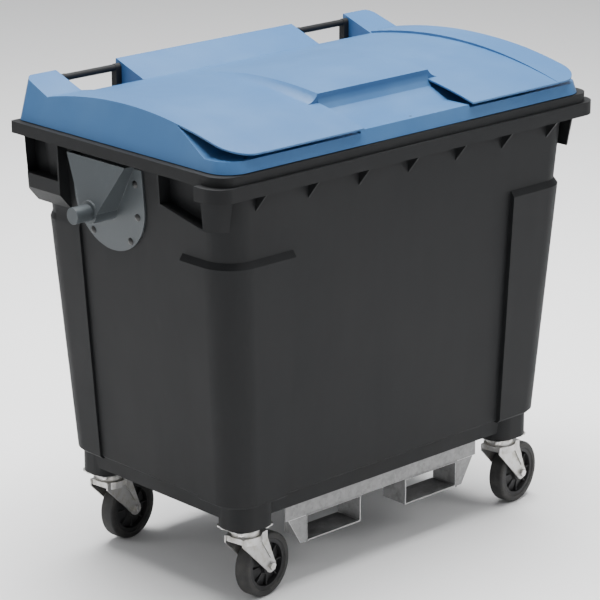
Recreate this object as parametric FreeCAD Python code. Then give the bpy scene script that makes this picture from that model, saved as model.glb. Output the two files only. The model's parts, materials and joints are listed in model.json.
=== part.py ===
import FreeCAD, Part
import math
import os

# Four-wheel refuse container of 660 litres: a moulded tub and a hinged lid on swivel castors,
# with lifting trunnions on its ends and fork pockets bolted under its floor.
# Frame: +X along the front to the right, +Y to the rear, +Z up, origin on the floor at the centre.
# Lengths are in millimetres.

V = FreeCAD.Vector

# Tub: a tapered rounded rectangle, open at the top
WALL = 5.0
FLOOR_RISE = 22.0
BASE_HEIGHT = 40.0
FOOT_INSET_X = 117.5
FOOT_INSET_Y = 75.5
FOOT_CORNER = 60.0
FOOT_CHAMFER = 8.0
RIM_TOP = 1088.0
MOUTH_INSET_X = 50.5
MOUTH_INSET_Y = 32.5
MOUTH_CORNER = 75.0
FLOOR_THICKNESS = 6.0
BASE_INSET_X = 15.0
BASE_INSET_Y = 14.0
BASE_TAPER = 4.0

# Rim: an upper band under the lid, and a prouder lower lip along the front
RIM_LENGTH = 1265.0
RIM_DEPTH = 755.0
RIM_CORNER = 48.0
RIM_REAR_CORNER = 8.0
BAND_INSET_X = 18.5
BAND_INSET_Y = 6.5
BAND_HEIGHT = 28.0
LIP_HEIGHT = 33.0
LIP_RETURN = 78.0
RIM_RIB_COUNT = 7
RIM_RIB_PITCH = 161.0
RIM_RIB_HEIGHT = 44.0
RIM_RIB_THICKNESS = 5.0
RIM_RIB_SETBACK = 2.0

# Corner pillars, raised from the walls
PILLAR_RISE = 12.0
PILLAR_REAR_RISE = 7.0
PILLAR_DROP = 230.0
PILLAR_SLOPE = 16.0
PILLAR_WIDTH_X = 150.0
PILLAR_WIDTH_Y = 120.0

# End boxes under the rim, each side of the trunnion bracket
BOX_FRONT_INSET = 11.5
BOX_FRONT_WIDTH = 216.0
BOX_SILL = 66.0
BOX_FRONT_IN = 19.5
BOX_REAR_WIDTH = 134.0
BOX_REAR_INSET = 31.5
BOX_REAR_IN = 26.5
BOX_REAR_CORNER = 14.0
BOX_FRONT_DROP = 135.0
BOX_REAR_DROP = 148.0
BOX_SLANT = 32.0
BOX_SOFFIT = 46.0
BOX_LEDGE = 28.0
BOX_SKIN = 6.0
BOX_TAPER = 8.0

# Lifting trunnions
TRUNNION_Y = 62.0
TRUNNION_DROP = 156.0
TRUNNION_REACH = 52.5
TRUNNION_R = 20.0
TRUNNION_SPIGOT_R = 14.0
TRUNNION_HUB_R = 28.0
TRUNNION_NECK = 5.5
PLATE_THICKNESS = 5.0
PLATE_HALF_WIDTH = 126.0
PLATE_FALL = 104.0
PLATE_RISE = 114.0
FUNNEL_HALF_TOP = 104.0
FUNNEL_RISE = 120.0
FUNNEL_IN = 18.5
SCREW_R = 5.0
SCREW_HEAD = 4.5
SCREW_DOME_R = 12.0
SCREW_SPREAD_Y = 100.0
SCREW_ROWS = (76.0, -4.0)
SCREW_LOW_Y = 67.0
SCREW_LOW_Z = -69.0

# Lid
LID_WALL = 4.0
LID_INSET_X = 35.5
LID_FRONT_INSET = 9.5
LID_REAR_INSET = 1.0
LID_GAP = 2.0
LID_DRAFT_X = 28.0
LID_DRAFT_FRONT = 23.0
LID_DRAFT_REAR = 5.0
LID_DRAFT_HEIGHT = 110.0
LID_FRONT_CORNER = 62.0
LID_REAR_CORNER = 26.0
SHELF_RISE = 36.0
GRIP_SHELF_RISE = 29.0
LID_DEPTH_CUT = 10.0
SHELF_DEPTH = 80.0
TONGUE_RISE = 93.0
TONGUE_RADIUS = 1400.0
TONGUE_CENTRE_Y = -5.0
STRIP_RISE = 99.0
STRIP_RADIUS = 1300.0
STRIP_CENTRE_Y = 0.0
PANEL_RISE = 107.5
PANEL_RADIUS = 1290.0
PANEL_CENTRE_Y = -65.0
PANEL_HALF = 182.0
PANEL_COVE = 40.0
PANEL_SETBACK = 146.0
PANEL_FRONT_COVE = 50.0
PANEL_STEPS = 9
PANEL_END = 22.0
PANEL_ROOT = 12.0
PANEL_FOOT_SINK = 0.5
PANEL_FOOT_RISE = 6.0
OVERHANG_INSET = 3.5
OVERHANG_DEPTH = 188.0
OVERHANG_LAP = 20.0
TONGUE_LAP = 2.0
STRIP_WIDTH = 93.0
STRIP_INSET = 22.0
STRIP_CORNER = 70.0
RIDGE_DEPTH = 101.0
RIDGE_INSET = 7.5
RIDGE_RISE = 101.5

# Rear handles, which carry the lid hinge
HANDLE_WIDTH = 186.0
HANDLE_INSET = 4.0
HANDLE_POST = 16.0
HINGE_INSET = 18.5
HINGE_RISE = 83.0
HANDLE_R = 8.5
POST_DEPTH = 19.0
HANDLE_FOOT = 7.0
HANDLE_FOOT_DEPTH = 24.0
NOTCH_SETBACK = 14.0
NOTCH_RISE = 24.0
LUG_THICKNESS = 6.0
LUG_GAP = 1.0
PIN_R = 6.0
PIN_HEAD_R = 8.0
PIN_HEAD = 4.0
RUNNING_GAP = 0.05
HANDLE_SCREW_R = 4.0
HANDLE_SCREW_INSET = 25.0
HANDLE_SCREW_TAIL = 4.0

# Lid buffers
BUFFER_R = 9.0
BUFFER_STEM_R = 4.0
BUFFER_INSET_X = 77.0
BUFFER_INSET_Y = 24.0

# Drain plug in the floor
DRAIN_X = 0.0
DRAIN_Y = 0.0
DRAIN_R = 24.0
DRAIN_FLANGE_R = 34.0
DRAIN_FLANGE = 5.0
DRAIN_SEAL = 3.0
DRAIN_SEAL_R = 32.0
DRAIN_GRIP = 8.0
DRAIN_GRIP_DEPTH = 10.0

# Castors
CASTOR_INSET_X = 75.0
CASTOR_INSET_Y = 54.0
CASTOR_TRAIL = 62.0
CASTOR_TURN = 8.0
CASTOR_HEADROOM = 40.0
WHEEL_R = 80.0
WHEEL_WIDTH = 40.0
TYRE_DEPTH = 18.0
CORE_WIDTH = 34.0
CORE_WEB = 10.0
CORE_RIM = 8.0
TYRE_SHOULDER = 7.0
TYRE_BEAD = 3.0
HUB_R = 22.0
HUB_WIDTH = 46.0
HUB_FLARE = 10.0
AXLE_R = 6.0
AXLE_HEAD_R = 10.0
AXLE_HEAD = 7.0
AXLE_NUT = 9.0
AXLE_TAIL = 12.0
FORK_SHEET = 4.0
FORK_GAP = 50.0
CROWN_DROP = 28.0
FORK_CROWN_R = 41.0
FORK_SKIRT = 14.0
FORK_BROW_X = 48.0
FORK_LEG_R = 17.0
FORK_LEG_SLOPE = 32.0
FORK_RIB = 10.0
FORK_RIB_X = 22.0
FORK_RIB_RISE = 3.0
PLATE_X = 110.0
PLATE_Y = 90.0
PLATE_T = 4.0
PLATE_CORNER = 12.0
PLATE_HOLE_X = 80.0
PLATE_HOLE_Y = 60.0
PLATE_HOLE_R = 5.5
INSERT_R = 8.0
INSERT_DEPTH = 24.0
INSERT_BASE = 2.0
CASTOR_BOLT_R = 5.0
RACE_R = 38.0
RACE_DEPTH = 5.5
RACE_WALL = 3.0
BALL_R = 4.0
BALL_CIRCLE_R = 30.0
BALL_COUNT = 16
BALL_GAP = 0.3
KINGPIN_R = 7.0
KINGPIN_HEAD_R = 12.0
KINGPIN_HEAD = 8.0
PAD_MARGIN_X = 5.0
PAD_MARGIN_Y = 8.0
PAD_CORNER = 44.0

# Fork pockets under the floor
POCKET_CENTRE_X = 168.0
POCKET_WIDTH = 182.0
POCKET_HEIGHT = 68.0
POCKET_DEPTH = 75.0
POCKET_SHEET = 3.0
POCKET_TAB = 36.0
FRAME_INSET_Y = 34.5
FRAME_HALF_X = 328.0
FRAME_SHEET = 3.0
FRAME_HEIGHT = 45.0
FRAME_FLANGE = 58.0
FRAME_BOLT_X = (-300.0, -20.0, 20.0, 300.0)
FRAME_BOLT_R = 5.0
FRAME_BOLT_IN = 30.0
FRAME_BOLT_TAIL = 4.0
GUSSET_TOP = 60.0
GUSSET_LOW = 20.0
GUSSET_SHEET = 3.0

# Shared: hexagon heads as ratios of the shank, the bite between fused pieces, and a reach past everything
BOLT_HEAD_RATIO = 1.8
BOLT_HEAD_HEIGHT = 1.4
BITE = 1.0
FAR = 900.0

# Heights, built up from the castors and down or up from the rim
MOUNT_Z = WHEEL_R * 2 + CASTOR_HEADROOM
FLOOR_Z = MOUNT_Z + FLOOR_RISE
FOOT_Z = FLOOR_Z + BASE_HEIGHT
FORK_CROWN_Z = MOUNT_Z - CROWN_DROP
FRAME_LOW_Z = FLOOR_Z - FRAME_HEIGHT
POCKET_LOW_Z = FRAME_LOW_Z - POCKET_HEIGHT
PILLAR_TOP_Z = RIM_TOP - PILLAR_DROP
BOX_LOW_Z = RIM_TOP - BOX_FRONT_DROP
BOX_REAR_LOW_Z = RIM_TOP - BOX_REAR_DROP
TRUNNION_Z = RIM_TOP - TRUNNION_DROP
FUNNEL_TOP_Z = TRUNNION_Z + FUNNEL_RISE
SHELF_Z = RIM_TOP + SHELF_RISE
GRIP_SHELF_Z = RIM_TOP + GRIP_SHELF_RISE
RIDGE_TOP_Z = RIM_TOP + RIDGE_RISE
HINGE_Z = RIM_TOP + HINGE_RISE
NOTCH_REAR_Z = RIM_TOP + NOTCH_RISE

# Lengths along the front, measured in from the rim
FOOT_LENGTH = RIM_LENGTH - FOOT_INSET_X * 2
MOUTH_LENGTH = RIM_LENGTH - MOUTH_INSET_X * 2
PILLAR_INNER_X = FOOT_LENGTH / 2 - PILLAR_WIDTH_X
BOX_FRONT_REACH = RIM_LENGTH / 2 - BOX_FRONT_IN
BOX_REAR_REACH = RIM_LENGTH / 2 - BOX_REAR_IN
FUNNEL_TOP_X = RIM_LENGTH / 2 - FUNNEL_IN
TRUNNION_NECK_X = RIM_LENGTH / 2 + TRUNNION_NECK
TRUNNION_TIP_X = RIM_LENGTH / 2 + TRUNNION_REACH
LID_LENGTH = RIM_LENGTH - LID_INSET_X * 2
STRIP_OUTER_X = LID_LENGTH / 2 - STRIP_INSET
TONGUE_OUTER_X = STRIP_OUTER_X - STRIP_WIDTH
TONGUE_INNER_X = PANEL_HALF - TONGUE_LAP
HANDLE_OUTER_X = TONGUE_OUTER_X - HANDLE_INSET
HANDLE_INNER_X = HANDLE_OUTER_X - HANDLE_WIDTH
BUFFER_X = LID_LENGTH / 2 - BUFFER_INSET_X
CASTOR_X = FOOT_LENGTH / 2 - CASTOR_INSET_X
CORE_R = WHEEL_R - TYRE_DEPTH

# Places from front to rear, measured in from the rim
FOOT_DEPTH = RIM_DEPTH - FOOT_INSET_Y * 2
MOUTH_DEPTH = RIM_DEPTH - MOUTH_INSET_Y * 2
PILLAR_INNER_Y = FOOT_DEPTH / 2 - PILLAR_WIDTH_Y
BOX_FRONT_Y0 = BOX_FRONT_INSET - RIM_DEPTH / 2
BOX_FRONT_Y1 = BOX_FRONT_Y0 + BOX_FRONT_WIDTH
BOX_CORNER_Y = BOX_FRONT_Y0 + BOX_SILL
BOX_REAR_Y1 = RIM_DEPTH / 2 - BOX_REAR_INSET
BOX_REAR_Y0 = BOX_REAR_Y1 - BOX_REAR_WIDTH
LID_FRONT_Y = LID_FRONT_INSET - RIM_DEPTH / 2
LID_REAR_Y = RIM_DEPTH / 2 - LID_REAR_INSET
SHELF_REAR_Y = LID_FRONT_Y + SHELF_DEPTH
OVERHANG_Y = OVERHANG_INSET - RIM_DEPTH / 2
OVERHANG_ROOT_Y = OVERHANG_Y + OVERHANG_DEPTH
RIDGE_TOP_Y = LID_REAR_Y - RIDGE_INSET
RIDGE_BASE_Y = RIDGE_TOP_Y - RIDGE_DEPTH
PANEL_FRONT_Y = LID_FRONT_Y + PANEL_SETBACK
PANEL_REAR_Y = RIDGE_BASE_Y - PANEL_END
HINGE_Y = RIM_DEPTH / 2 - HINGE_INSET
NOTCH_REAR_Y = HINGE_Y - NOTCH_SETBACK
BUFFER_Y = -LID_FRONT_Y - BUFFER_INSET_Y
CASTOR_Y = FOOT_DEPTH / 2 - CASTOR_INSET_Y
FRAME_Y = FOOT_DEPTH / 2 - FRAME_INSET_Y


def box(x0, x1, y0, y1, z0, z1):
    """Axis-aligned block between two corners."""
    return Part.makeBox(x1 - x0, y1 - y0, z1 - z0, V(x0, y0, z0))


def cylinder(radius, start, end):
    """Round bar between two points."""
    axis = end.sub(start)
    return Part.makeCylinder(radius, axis.Length, start, axis)


def hexagon(radius, start, end):
    """Hexagonal bar between two points, its radius measured to the corners."""
    axis = end.sub(start)
    turn = FreeCAD.Rotation(V(0, 0, 1), axis)
    corners = []
    for i in range(7):
        angle = math.radians(60 * i)
        corner = V(radius * math.cos(angle), radius * math.sin(angle), 0)
        corners.append(turn.multVec(corner).add(start))
    return Part.Face(Part.makePolygon(corners)).extrude(axis)


def outline(x0, x1, y0, y1, z, radii):
    """Rounded rectangle wire; radii are front-left, front-right, rear-right and rear-left."""
    corners = [(x0, y0, 1, 1), (x1, y0, -1, 1), (x1, y1, -1, -1), (x0, y1, 1, -1)]
    start_angles = [180, 270, 0, 90]
    arcs = []
    for (x, y, sx, sy), radius, angle in zip(corners, radii, start_angles):
        centre = V(x + sx * radius, y + sy * radius, z)
        arc = []
        for degrees in (angle, angle + 45, angle + 90):
            turn = math.radians(degrees)
            arc.append(centre.add(V(radius * math.cos(turn), radius * math.sin(turn), 0)))
        arcs.append(arc)
    edges = []
    for i, arc in enumerate(arcs):
        edges.append(Part.Arc(*arc).toShape())
        edges.append(Part.makeLine(arc[2], arcs[(i + 1) % 4][0]))
    return Part.Wire(edges)


def frustum(low, high):
    """Tapered rounded block between two sections (half length, half depth, corner, z)."""
    wires = []
    for half_x, half_y, corner, z in (low, high):
        wires.append(outline(-half_x, half_x, -half_y, half_y, z, [corner] * 4))
    return Part.makeLoft(wires, True, True)


def slab(half, y0, y1, radii, z0, z1):
    """Upright block over a rounded rectangle centred on X = 0."""
    return Part.Face(outline(-half, half, y0, y1, z0, radii)).extrude(V(0, 0, z1 - z0))


def ring(half, y0, y1, radii, z0, z1, thickness):
    """Upright rounded rectangular band of the given wall thickness."""
    inner_radii = [max(radius - thickness, BITE) for radius in radii]
    hollow = slab(half - thickness, y0 + thickness, y1 - thickness, inner_radii, z0 - BITE, z1 + BITE)
    return slab(half, y0, y1, radii, z0, z1).cut(hollow)


def prism_x(points, x0, x1):
    """Polygon of (y, z) points extruded along X."""
    corners = [V(x0, y, z) for y, z in points]
    face = Part.Face(Part.makePolygon(corners + corners[:1]))
    return face.extrude(V(x1 - x0, 0, 0))


def prism_y(points, y0, y1):
    """Polygon of (x, z) points extruded along Y."""
    corners = [V(x, y0, z) for x, z in points]
    face = Part.Face(Part.makePolygon(corners + corners[:1]))
    return face.extrude(V(0, y1 - y0, 0))


def union(shapes):
    """Fuse solids that touch into one."""
    return shapes[0].multiFuse(shapes[1:]).removeSplitter()


def mirror_x(shape):
    return shape.mirror(V(0, 0, 0), V(1, 0, 0))


def mirror_y(shape):
    return shape.mirror(V(0, 0, 0), V(0, 1, 0))


def save(name, shapes):
    """Write one sub-part; a list of shapes is a group of separate solids."""
    shape = Part.makeCompound(shapes) if isinstance(shapes, list) else shapes
    shape.exportStep("parts/" + name + ".step")


# ---------------------------------------------------------------- tub

def along_wall(z, foot, mouth):
    """Value on the tapered wall at height z, from its values at the foot and at the mouth."""
    return foot + (mouth - foot) * (z - FOOT_Z) / (RIM_TOP - FOOT_Z)


def wall_x(z):
    return along_wall(z, FOOT_LENGTH, MOUTH_LENGTH) / 2


def wall_y(z):
    return along_wall(z, FOOT_DEPTH, MOUTH_DEPTH) / 2


def wall_corner(z):
    return along_wall(z, FOOT_CORNER, MOUTH_CORNER)


def wall_section(z, offset):
    """Section of the tub wall at height z, moved outwards by offset."""
    return (wall_x(z) + offset, wall_y(z) + offset, wall_corner(z) + offset, z)


def wall_block(z0, z1, offset0, offset1):
    return frustum(wall_section(z0, offset0), wall_section(z1, offset1))


def base_section(z, inset):
    half_x = FOOT_LENGTH / 2 - BASE_INSET_X - inset
    half_y = FOOT_DEPTH / 2 - BASE_INSET_Y - inset
    return (half_x, half_y, FOOT_CORNER - inset, z)


def pillars():
    """Raised corners of the walls, with a sloping top ledge and a chamfered foot."""
    found = []
    chamfer_top = FOOT_Z + FOOT_CHAMFER
    for rise, side in ((PILLAR_RISE, -1), (PILLAR_REAR_RISE, 1)):
        body = union([
            wall_block(FOOT_Z, chamfer_top, rise - FOOT_CHAMFER, rise),
            wall_block(chamfer_top, PILLAR_TOP_Z, rise, rise),
            wall_block(PILLAR_TOP_Z, PILLAR_TOP_Z + PILLAR_SLOPE, rise, -BITE)])
        for x0, x1 in ((-FAR, -PILLAR_INNER_X), (PILLAR_INNER_X, FAR)):
            y0, y1 = (-FAR, -PILLAR_INNER_Y) if side < 0 else (PILLAR_INNER_Y, FAR)
            found.append(body.common(box(x0, x1, y0, y1, 0, RIM_TOP)))
    return found


def castor_pads():
    """Thick corner blocks under the floor that the castors bolt to."""
    half_x = PLATE_X / 2 + PAD_MARGIN_X
    half_y = PLATE_Y / 2 + PAD_MARGIN_Y
    found = []
    for sx in (-1, 1):
        for sy in (-1, 1):
            plan = (half_x, half_y, PAD_CORNER)
            pad = frustum(plan + (MOUNT_Z,), plan + (FOOT_Z + FOOT_CHAMFER,))
            pad.translate(V(sx * CASTOR_X, sy * CASTOR_Y, 0))
            found.append(pad)
    return found


BAND_LOW = RIM_TOP - BAND_HEIGHT
LIP_LOW = BAND_LOW - LIP_HEIGHT + WALL


def rim():
    """Top flange with its band, and the lip and web that stand out along the front."""
    half = RIM_LENGTH / 2 - BAND_INSET_X
    front_y = BAND_INSET_Y - RIM_DEPTH / 2
    rear_y = RIM_DEPTH / 2
    radii = [RIM_CORNER, RIM_CORNER, RIM_REAR_CORNER, RIM_REAR_CORNER]
    web_top = BAND_LOW + WALL
    web = ring(RIM_LENGTH / 2, -rear_y, rear_y, [RIM_CORNER] * 4, BAND_LOW, web_top, BAND_INSET_X + WALL)
    lip = ring(RIM_LENGTH / 2, -rear_y, rear_y, [RIM_CORNER] * 4, LIP_LOW, web_top, WALL)
    keep = box(-FAR, FAR, -FAR, LIP_RETURN - rear_y, 0, RIM_TOP)
    return [slab(half, front_y, rear_y, radii, RIM_TOP - WALL, RIM_TOP),
            ring(half, front_y, rear_y, radii, BAND_LOW, RIM_TOP, WALL), web.common(keep), lip.common(keep)]


def rib_points(edge_z):
    """Side view of a rib, from the rim edge at height edge_z to the wall."""
    foot_z = LIP_LOW - RIM_RIB_HEIGHT
    rim_y = RIM_DEPTH / 2 - BITE
    return [(-rim_y, BAND_LOW + BITE), (-rim_y, edge_z), (-wall_y(foot_z), foot_z),
            (-wall_y(foot_z) + WALL - BITE, foot_z), (-wall_y(BAND_LOW) + WALL - BITE, BAND_LOW + BITE)]


def rim_ribs():
    """Triangular ribs that tie the rim to the front and rear walls."""
    found = []
    for i in range(RIM_RIB_COUNT):
        x = (i - (RIM_RIB_COUNT - 1) / 2) * RIM_RIB_PITCH
        x0 = x - RIM_RIB_THICKNESS / 2
        x1 = x + RIM_RIB_THICKNESS / 2
        found.append(prism_x(rib_points(LIP_LOW + RIM_RIB_SETBACK), x0, x1))
        found.append(mirror_y(prism_x(rib_points(BAND_LOW), x0, x1)))
    return found


BOX_ROOT_X = wall_x(BOX_REAR_LOW_Z - BOX_SOFFIT) - WALL + BITE


def front_end_box():
    """Open pocket under the rim in front of the right-hand bracket, with a slanting sill."""
    sill = ((BOX_CORNER_Y, BOX_LOW_Z), (BOX_FRONT_Y1, BOX_LOW_Z + BOX_SLANT))
    outside = [(BOX_FRONT_Y0, RIM_TOP - BITE), (BOX_FRONT_Y0, BOX_LOW_Z), sill[0], sill[1],
               (BOX_FRONT_Y1, RIM_TOP - BITE)]
    block = prism_x(outside, BOX_ROOT_X, BOX_FRONT_REACH)
    taper = frustum((BOX_FRONT_REACH - BOX_TAPER, wall_y(BOX_LOW_Z) + BOX_SKIN, MOUTH_CORNER, BOX_LOW_Z - BITE),
                    (BOX_FRONT_REACH, -BOX_FRONT_Y0, MOUTH_CORNER, RIM_TOP))
    y0 = BOX_CORNER_Y + BOX_SKIN
    y1 = BOX_FRONT_Y1 - BOX_SKIN
    inside = [(y0, RIM_TOP - WALL), (y0, BOX_LOW_Z + BOX_SKIN), (y1, BOX_LOW_Z + BOX_SLANT + BOX_SKIN),
              (y1, RIM_TOP - WALL)]
    return block.common(taper).cut(prism_x(inside, BOX_ROOT_X - BITE, FAR))


def rear_end_box():
    """Open pocket under the rim behind the right-hand bracket, with a deep ledge and a sloping underside."""
    low = BOX_REAR_LOW_Z
    soffit_z = low - BOX_SOFFIT
    outside = [(BOX_ROOT_X, RIM_TOP - BITE), (BOX_REAR_REACH, RIM_TOP - BITE), (BOX_REAR_REACH, low),
               (BOX_REAR_REACH - BOX_TAPER, low - BOX_TAPER), (wall_x(soffit_z) - BITE, soffit_z),
               (BOX_ROOT_X, soffit_z)]
    block = prism_y(outside, BOX_REAR_Y0, BOX_REAR_Y1)
    taper = frustum((BOX_REAR_REACH - BOX_TAPER, BOX_REAR_Y1 - BOX_SKIN, BOX_REAR_CORNER, soffit_z - BITE),
                    (BOX_REAR_REACH, BOX_REAR_Y1, BOX_REAR_CORNER, RIM_TOP))
    hollow = box(BOX_ROOT_X - BITE, FAR, BOX_REAR_Y0 + BOX_SKIN, BOX_REAR_Y1 - BOX_SKIN,
                 low + BOX_LEDGE, RIM_TOP - WALL)
    return block.common(taper).cut(hollow)


def tub():
    chamfer_top = FOOT_Z + FOOT_CHAMFER
    walls = [wall_block(FOOT_Z, chamfer_top, -FOOT_CHAMFER, 0),
             wall_block(chamfer_top, RIM_TOP, 0, 0).cut(Part.makeCompound(screw_holes())),
             frustum(base_section(FLOOR_Z, BASE_TAPER), base_section(FOOT_Z + BITE, 0))]
    boxes = [front_end_box(), rear_end_box()]
    boxes += [mirror_x(item) for item in boxes]
    body = union(walls + pillars() + castor_pads() + rim() + rim_ribs() + boxes)
    floor_top = FLOOR_Z + FLOOR_THICKNESS
    step_z = FOOT_Z + WALL
    cavity = union([frustum(base_section(floor_top, BASE_TAPER + WALL), base_section(step_z, WALL)),
                    wall_block(step_z, RIM_TOP + WALL, -WALL, -WALL)])
    cuts = [cavity, drain_disc(DRAIN_R, 0, FOOT_Z)] + insert_holes() + frame_bolt_holes() + handle_screw_holes()
    return body.cut(Part.makeCompound(cuts))


# ---------------------------------------------------------------- trunnions

TRUNNION_ROOT = V(wall_x(TRUNNION_Z) - WALL * 2, TRUNNION_Y, TRUNNION_Z)
WALL_ANGLE = math.degrees(math.atan2((MOUTH_LENGTH - FOOT_LENGTH) / 2, RIM_TOP - FOOT_Z))


def on_wall(shape):
    """Put a shape drawn on the YZ plane through the trunnion onto the sloping right-hand wall."""
    placed = shape.copy()
    placed.rotate(V(0, 0, 0), V(0, 1, 0), WALL_ANGLE)
    placed.translate(V(wall_x(TRUNNION_Z), TRUNNION_Y, TRUNNION_Z))
    return placed


def bracket_plate():
    """Plate with a straight top and a round foot, lying on the wall."""
    radius = PLATE_HALF_WIDTH
    low = -PLATE_FALL
    high = PLATE_RISE
    shoulder = low + radius
    top = Part.makePolygon([V(0, radius, shoulder), V(0, radius, high),
                            V(0, -radius, high), V(0, -radius, shoulder)])
    foot = Part.Arc(V(0, -radius, shoulder), V(0, 0, low), V(0, radius, shoulder)).toShape()
    return Part.Face(Part.Wire(top.Edges + [foot])).extrude(V(PLATE_THICKNESS, 0, 0))


def screw_places():
    places = []
    for sign in (-1, 1):
        for z in SCREW_ROWS:
            places.append((sign * SCREW_SPREAD_Y, z))
        places.append((sign * SCREW_LOW_Y, SCREW_LOW_Z))
    return places


def funnel(inset):
    """Block that the sheet above the pin follows, from its wide top down to the hub."""
    wires = []
    for half, reach, z in ((FUNNEL_HALF_TOP, FUNNEL_TOP_X, FUNNEL_TOP_Z),
                           (TRUNNION_HUB_R, TRUNNION_NECK_X, TRUNNION_Z)):
        x0 = TRUNNION_ROOT.x
        x1 = reach - inset
        y0 = TRUNNION_Y - half + inset
        y1 = TRUNNION_Y + half - inset
        corners = [V(x0, y0, z), V(x1, y0, z), V(x1, y1, z), V(x0, y1, z)]
        wires.append(Part.makePolygon(corners + corners[:1]))
    return Part.makeLoft(wires, True, True)


def bracket():
    """Right-hand trunnion bracket: wall plate, folded sheet above the pin and the hub round it."""
    plate = bracket_plate()
    for y, z in screw_places():
        plate = plate.cut(cylinder(SCREW_R, V(-BITE, y, z), V(PLATE_THICKNESS + BITE, y, z)))
    hub = cylinder(TRUNNION_HUB_R, TRUNNION_ROOT, V(TRUNNION_NECK_X, TRUNNION_Y, TRUNNION_Z))
    shape = union([on_wall(plate), funnel(0).cut(funnel(PLATE_THICKNESS)), hub])
    wall_side = on_wall(box(-FAR, 0, -FAR, FAR, -FAR, FAR))
    bore = cylinder(TRUNNION_SPIGOT_R, TRUNNION_ROOT, V(FAR, TRUNNION_Y, TRUNNION_Z))
    return shape.cut(wall_side).cut(bore)


def trunnion_pin():
    """Right-hand pin: a spigot in the bracket, and the plain shank that a lift takes hold of."""
    start = V(wall_x(TRUNNION_Z) + PLATE_THICKNESS, TRUNNION_Y, TRUNNION_Z)
    neck = V(TRUNNION_NECK_X, TRUNNION_Y, TRUNNION_Z)
    end = V(TRUNNION_TIP_X, TRUNNION_Y, TRUNNION_Z)
    return union([cylinder(TRUNNION_SPIGOT_R, start, end), cylinder(TRUNNION_R, neck, end)])


def bracket_screws():
    screws = []
    for y, z in screw_places():
        shank = cylinder(SCREW_R, V(-WALL, y, z), V(PLATE_THICKNESS + BITE, y, z))
        ball = Part.makeSphere(SCREW_DOME_R, V(PLATE_THICKNESS + SCREW_HEAD - SCREW_DOME_R, y, z))
        head = ball.common(box(PLATE_THICKNESS, FAR, -FAR, FAR, -FAR, FAR))
        screws.append(on_wall(union([shank, head])))
    return screws


def screw_holes():
    holes = []
    for y, z in screw_places():
        hole = on_wall(cylinder(SCREW_R, V(-WALL * 3, y, z), V(WALL, y, z)))
        holes += [hole, mirror_x(hole)]
    return holes


# ---------------------------------------------------------------- lid

def arc_z(y, peak, radius, centre_y):
    """Height of a crowned profile at y."""
    return peak - radius + math.sqrt(radius * radius - (y - centre_y) ** 2)


def crown(y0, y1, profile, drop):
    """Edge of a crowned profile from y0 to y1, lowered by drop."""
    points = []
    for y in (y0, (y0 + y1) / 2, y1):
        points.append(V(0, y, arc_z(y, *profile) - drop))
    return Part.Arc(*points).toShape()


def swept_x(edges, x0, x1):
    """Closed YZ profile of edges extruded along X."""
    wire = Part.Wire(Part.__sortEdges__(edges))
    wire.translate(V(x0, 0, 0))
    return Part.Face(wire).extrude(V(x1 - x0, 0, 0))


def line(y0, z0, y1, z1):
    return Part.makeLine(V(0, y0, z0), V(0, y1, z1))


TONGUE = (RIM_TOP + TONGUE_RISE, TONGUE_RADIUS, TONGUE_CENTRE_Y)
STRIP = (RIM_TOP + STRIP_RISE, STRIP_RADIUS, STRIP_CENTRE_Y)
PANEL = (RIM_TOP + PANEL_RISE, PANEL_RADIUS, PANEL_CENTRE_Y)
LID_LOW_Z = RIM_TOP + LID_GAP


def lid_envelope(inset):
    """Drafted block that the lid's sides follow, with its rounded corners."""
    wires = []
    for share in (0.0, 1.0):
        half = LID_LENGTH / 2 - share * LID_DRAFT_X - inset
        y0 = LID_FRONT_Y + share * LID_DRAFT_FRONT + inset
        y1 = LID_REAR_Y - share * LID_DRAFT_REAR - inset
        front = LID_FRONT_CORNER - inset
        rear = LID_REAR_CORNER - inset
        z = LID_LOW_Z + share * LID_DRAFT_HEIGHT
        wires.append(outline(-half, half, y0, y1, z, [front, front, rear, rear]))
    return Part.makeLoft(wires, True, True)


def lid_profile(drop, shelf_z, half):
    """Side view of the lid: shelf, front slope, crown and rear ridge, lowered by drop."""
    low = LID_LOW_Z - (LID_DEPTH_CUT if drop else 0)
    shelf = shelf_z - drop
    shelf_y = SHELF_REAR_Y + drop
    root_y = OVERHANG_ROOT_Y + drop
    root_z = arc_z(root_y, *TONGUE) - drop
    base_z = arc_z(RIDGE_BASE_Y, *TONGUE) - drop
    ridge = RIDGE_TOP_Z - drop
    edges = [line(-FAR, low, -FAR, shelf), line(-FAR, shelf, shelf_y, shelf),
             line(shelf_y, shelf, root_y, root_z), crown(root_y, RIDGE_BASE_Y, TONGUE, drop),
             line(RIDGE_BASE_Y, base_z, RIDGE_TOP_Y, ridge), line(RIDGE_TOP_Y, ridge, FAR, ridge),
             line(FAR, ridge, FAR, low), line(FAR, low, -FAR, low)]
    return swept_x(edges, -half, half)


def lid_block(drop):
    """Solid lid without its trim: low shelves under the grips, and a higher one in the middle."""
    low = lid_profile(drop, GRIP_SHELF_Z, FAR)
    middle = lid_profile(drop, SHELF_Z, TONGUE_INNER_X - drop)
    return union([low, middle]).common(lid_envelope(drop))


def crowned_slab(y0, y1, top, bottom, bottom_drop, x0, x1):
    """Slab between two crowned profiles, the lower one dropped by bottom_drop."""
    edges = [crown(y0, y1, top, 0), crown(y0, y1, bottom, bottom_drop)]
    for y in (y0, y1):
        edges.append(line(y, arc_z(y, *top), y, arc_z(y, *bottom) - bottom_drop))
    return swept_x(edges, x0, x1)


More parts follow.
